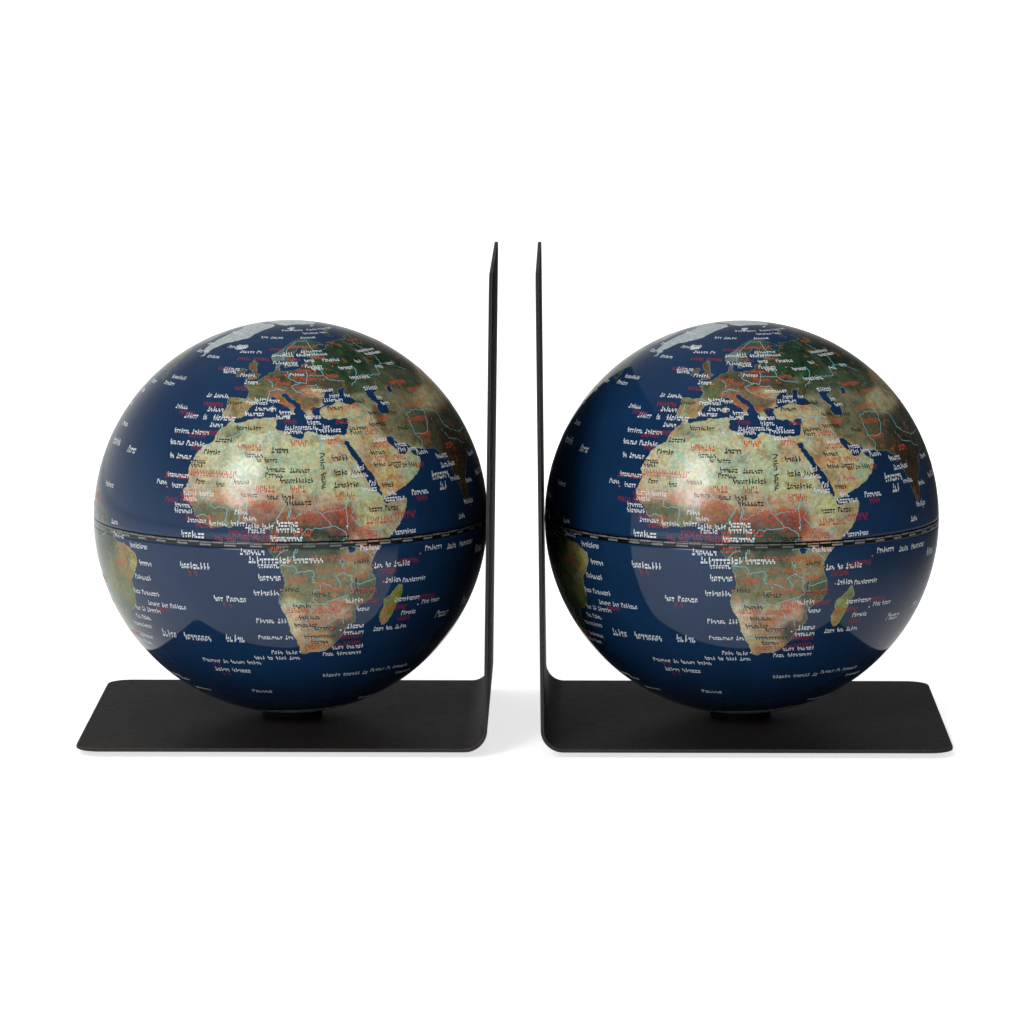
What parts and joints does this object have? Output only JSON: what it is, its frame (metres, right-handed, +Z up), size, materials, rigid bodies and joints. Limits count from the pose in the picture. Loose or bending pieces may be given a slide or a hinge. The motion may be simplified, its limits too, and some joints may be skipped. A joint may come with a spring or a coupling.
{
  "type": "globe bookends",
  "caption": "Pair of desk bookends, each a bent sheet-steel bracket carrying a small terrestrial globe that turns on an upright post.",
  "frame": {"origin": "on the shelf under the feet, at the middle of the pair", "axes": "+X along the pair from the left bookend to the right one, +Y away from the front, +Z up"},
  "size_m": [0.2816, 0.13, 0.1552],
  "materials": {
    "powder_coat": "fine matte black powder coat",
    "foot_rubber": "matte",
    "zinc_steel": "zinc plated, satin",
    "turned_steel": "turned, satin",
    "spring_steel": "dark satin",
    "black_nylon": "satin",
    "white_nylon": "satin",
    "grey_plastic": "matte",
    "map_plastic": "satin gloss print of a dark blue world map",
    "tape_film": "satin print"
  },
  "bodies": {
    "left_bookend": {"left_bracket": "powder_coat", "left_foot_front_inner": "foot_rubber", "left_foot_front_outer": "foot_rubber", "left_foot_back_inner": "foot_rubber", "left_foot_back_outer": "foot_rubber", "left_pivot_screw": "zinc_steel", "left_lock_washer": "zinc_steel", "left_thrust_disc": "black_nylon", "left_pivot_post": "turned_steel", "left_slip_washer": "white_nylon", "left_disc_spring": "spring_steel", "left_lock_nut": "zinc_steel"},
    "left_globe": {"left_pole_bush": "black_nylon", "left_bush_nut": "black_nylon", "left_south_hemisphere": "map_plastic", "left_north_hemisphere": "map_plastic", "left_joint_ring": "grey_plastic", "left_equator_tape": "tape_film"},
    "right_bookend": {"right_bracket": "powder_coat", "right_foot_front_inner": "foot_rubber", "right_foot_front_outer": "foot_rubber", "right_foot_back_inner": "foot_rubber", "right_foot_back_outer": "foot_rubber", "right_pivot_screw": "zinc_steel", "right_lock_washer": "zinc_steel", "right_thrust_disc": "black_nylon", "right_pivot_post": "turned_steel", "right_slip_washer": "white_nylon", "right_disc_spring": "spring_steel", "right_lock_nut": "zinc_steel"},
    "right_globe": {"right_pole_bush": "black_nylon", "right_bush_nut": "black_nylon", "right_south_hemisphere": "map_plastic", "right_north_hemisphere": "map_plastic", "right_joint_ring": "grey_plastic", "right_equator_tape": "tape_film"}
  },
  "joints": [
    {"name": "left_globe_turn", "type": "hinge", "parent": "left_bookend", "child": "left_globe", "pos_m": [-0.07439, 0, 0.06905], "axis": [0, 0, 1], "continuous": true},
    {"name": "pair_spread", "type": "slide", "parent": "left_bookend", "child": "right_bookend", "axis": [1, 0, 0], "range_m": [-0.012, 0.3]},
    {"name": "right_globe_turn", "type": "hinge", "parent": "right_bookend", "child": "right_globe", "pos_m": [0.07439, 0, 0.06905], "axis": [0, 0, 1], "continuous": true}
  ]
}
